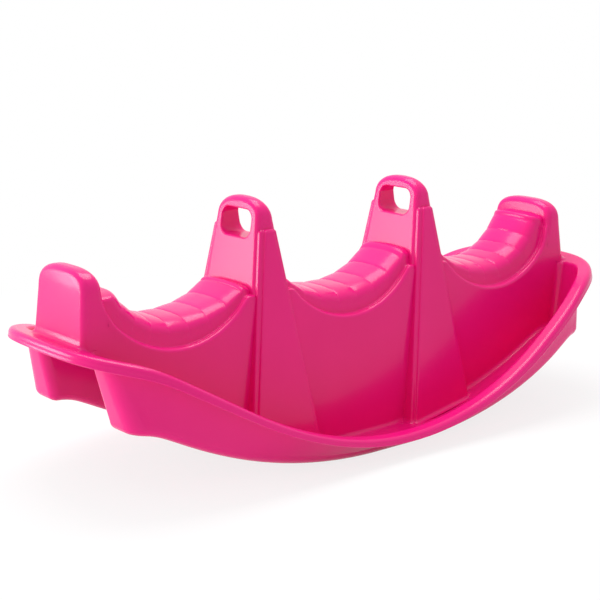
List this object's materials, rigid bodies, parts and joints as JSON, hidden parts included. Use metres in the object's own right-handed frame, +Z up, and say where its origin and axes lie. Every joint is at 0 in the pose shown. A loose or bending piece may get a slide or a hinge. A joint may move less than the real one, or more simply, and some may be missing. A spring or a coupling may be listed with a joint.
{
  "type": "rocking boat",
  "caption": "Ride-on rocking toy shaped like a boat, with a ridge of quilted saddle seats, handle posts with hand holes, and foot wells that end in curved runners.",
  "frame": {"origin": "on the floor under the middle of the boat", "axes": "+X along the boat towards the rear seat, +Y to the left across it, +Z up"},
  "size_m": [0.977, 0.396, 0.364],
  "materials": {
    "pink_plastic": "glossy moulded plastic, coloured right through"
  },
  "bodies": {
    "root": {"gunwale": "pink_plastic", "foot_well_front_left": "pink_plastic", "foot_well_middle_left": "pink_plastic", "foot_well_rear_left": "pink_plastic", "saddle_wall_left": "pink_plastic", "buttress_front_left": "pink_plastic", "buttress_rear_left": "pink_plastic", "foot_well_front_right": "pink_plastic", "foot_well_middle_right": "pink_plastic", "foot_well_rear_right": "pink_plastic", "saddle_wall_right": "pink_plastic", "buttress_front_right": "pink_plastic", "buttress_rear_right": "pink_plastic", "handle_post_front": "pink_plastic", "handle_post_rear": "pink_plastic", "end_block_front": "pink_plastic", "end_block_rear": "pink_plastic", "seat_pad_front": "pink_plastic", "seat_pad_middle": "pink_plastic", "seat_pad_rear": "pink_plastic"}
  },
  "joints": []
}
